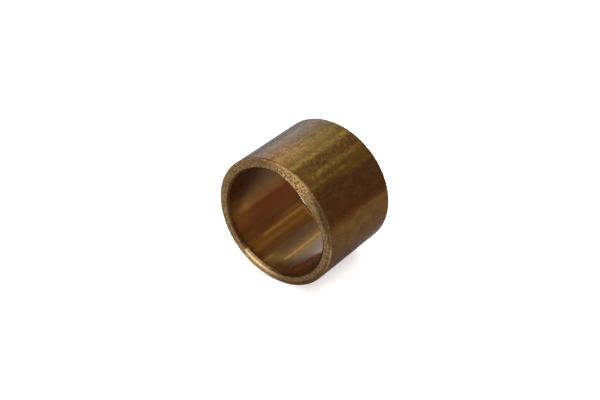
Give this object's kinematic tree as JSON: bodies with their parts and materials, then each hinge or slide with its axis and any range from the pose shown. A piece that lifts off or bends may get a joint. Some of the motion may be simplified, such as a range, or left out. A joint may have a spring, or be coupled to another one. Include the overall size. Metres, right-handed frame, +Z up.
{
  "type": "plain sleeve bushing",
  "caption": "Plain round bronze sleeve with a smooth through bore and small chamfers on both ends; carries a rotating shaft in a housing.",
  "frame": {"origin": "middle of the bore, on its axis and halfway between the two end faces", "axes": "+Y along the bore axis, +Z up with the bushing lying on its side"},
  "size_m": [0.03, 0.021, 0.03],
  "materials": {
    "bronze": "turned bronze with a mottled brown-gold tarnish, dull on the outside, smooth in the bore, grainy on the end faces"
  },
  "bodies": {
    "root": {"bushing_sleeve": "bronze"}
  },
  "joints": []
}
